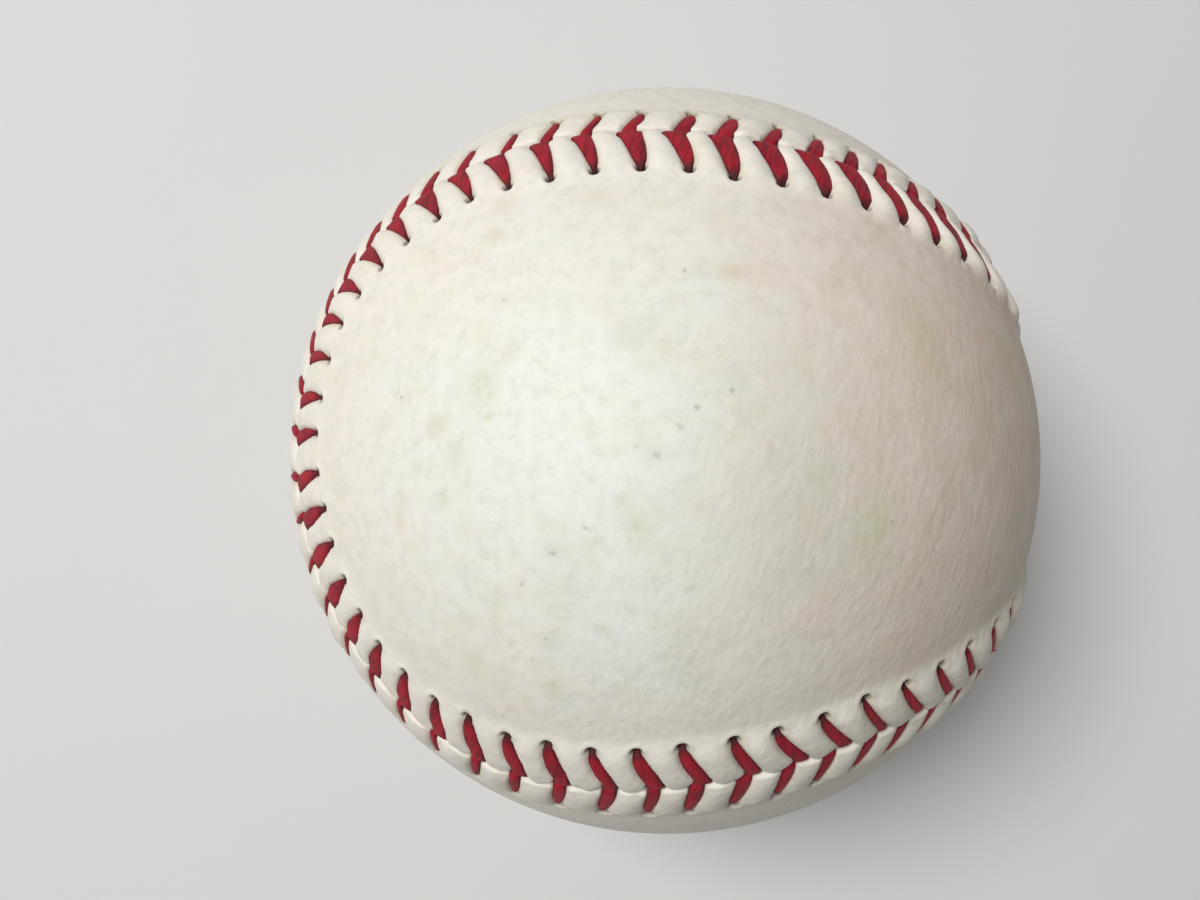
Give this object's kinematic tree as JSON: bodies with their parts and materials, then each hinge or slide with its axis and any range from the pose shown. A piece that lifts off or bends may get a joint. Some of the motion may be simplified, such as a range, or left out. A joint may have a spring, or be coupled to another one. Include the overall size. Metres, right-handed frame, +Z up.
{
  "type": "baseball",
  "caption": "White leather baseball with raised red stitching: two figure-eight panels sewn over yarn windings and a cushioned cork centre.",
  "frame": {"origin": "centre of the ball", "axes": "+Z up through the middle of one lobe of panel a, +X through the middle of its neck, +Y through a lobe of panel b"},
  "size_m": [0.0742, 0.0742, 0.0742],
  "materials": {
    "cork": "granular cork and rubber composition",
    "black_rubber": "moulded, matte",
    "red_rubber": "moulded, matte",
    "grey_wool": "wound wool yarn",
    "white_wool": "wound wool yarn",
    "finishing_yarn": "fine wound poly-cotton yarn",
    "cowhide": "smooth alum-tanned cowhide, lightly used",
    "waxed_thread": "waxed cotton thread, pressed flat"
  },
  "bodies": {
    "root": {"nucleus": "cork", "inner_shell_lower": "black_rubber", "inner_shell_upper": "black_rubber", "shell_washer": "red_rubber", "outer_shell_left": "red_rubber", "outer_shell_right": "red_rubber", "first_winding": "grey_wool", "second_winding": "white_wool", "third_winding": "grey_wool", "finishing_winding": "finishing_yarn", "cover_panel_a": "cowhide", "cover_panel_b": "cowhide", "thread_first_half": "waxed_thread", "thread_second_half": "waxed_thread"}
  },
  "joints": []
}
